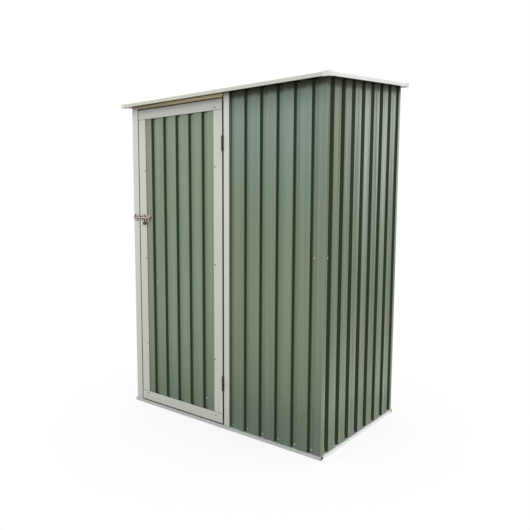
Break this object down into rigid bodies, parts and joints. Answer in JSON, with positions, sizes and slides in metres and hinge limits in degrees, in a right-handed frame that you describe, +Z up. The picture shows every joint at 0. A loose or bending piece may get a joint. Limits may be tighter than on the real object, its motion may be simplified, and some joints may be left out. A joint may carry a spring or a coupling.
{
  "type": "metal tool shed",
  "caption": "Metal garden tool shed: ribbed green sheet walls on a base frame, cream posts and door frame, a lean-to roof rising to the back, a hinged door with a sliding bolt.",
  "frame": {"origin": "on the ground under the middle of the roof's plan", "axes": "+Z up, -Y out of the front wall with the door, +X to the right seen from the front"},
  "size_m": [1.42, 0.8684, 1.8961],
  "materials": {
    "green_sheet": "satin",
    "roof_sheet": "satin",
    "cream_frame": "satin",
    "roof_trim": "satin",
    "cap_plastic": "matte",
    "galvanised": "satin",
    "hinge_steel": "satin",
    "latch_zinc": "satin"
  },
  "bodies": {
    "shed": {"base_rail_front": "galvanised", "base_rail_back": "galvanised", "base_rail_right": "galvanised", "base_rail_left": "galvanised", "front_wall": "green_sheet", "right_wall": "green_sheet", "left_wall": "green_sheet", "back_wall_right": "green_sheet", "back_wall_left": "green_sheet", "door_post_latch": "cream_frame", "door_post_hinge": "cream_frame", "door_header": "cream_frame", "corner_angle_back_left": "galvanised", "corner_angle_back_right": "galvanised", "corner_angle_front_right": "galvanised", "top_rail_front": "galvanised", "top_rail_back": "galvanised", "top_rail_right": "galvanised", "top_rail_left": "galvanised", "roof_beam": "galvanised", "mid_rail_front": "galvanised", "mid_rail_back": "galvanised", "mid_rail_right": "galvanised", "mid_rail_left": "galvanised", "roof_sheet_left": "roof_sheet", "roof_sheet_right": "roof_sheet", "roof_trim_front": "roof_trim", "roof_trim_back": "roof_trim", "roof_trim_right": "roof_trim", "roof_trim_left": "roof_trim", "roof_cap_front_right": "cap_plastic", "roof_cap_front_left": "cap_plastic", "roof_cap_back_right": "cap_plastic", "roof_cap_back_left": "cap_plastic", "hinge_post_leaves": "hinge_steel", "latch_keeper": "latch_zinc"},
    "door": {"door_stile_latch": "cream_frame", "door_stile_hinge": "cream_frame", "door_rail_bottom": "cream_frame", "door_rail_top": "cream_frame", "door_panel": "green_sheet", "door_brace": "galvanised", "hinge_door_leaves": "hinge_steel", "latch_plate": "latch_zinc"},
    "bolt": {"latch_bolt": "latch_zinc"}
  },
  "joints": [
    {"name": "door_hinge", "type": "hinge", "parent": "shed", "child": "door", "pos_m": [0.049, -0.3862, 1.139], "axis": [0, 0, 1], "range_deg": [0, 170]},
    {"name": "bolt_slide", "type": "slide", "parent": "door", "child": "bolt", "axis": [-1, 0, 0], "range_m": [0, 0.026]}
  ]
}
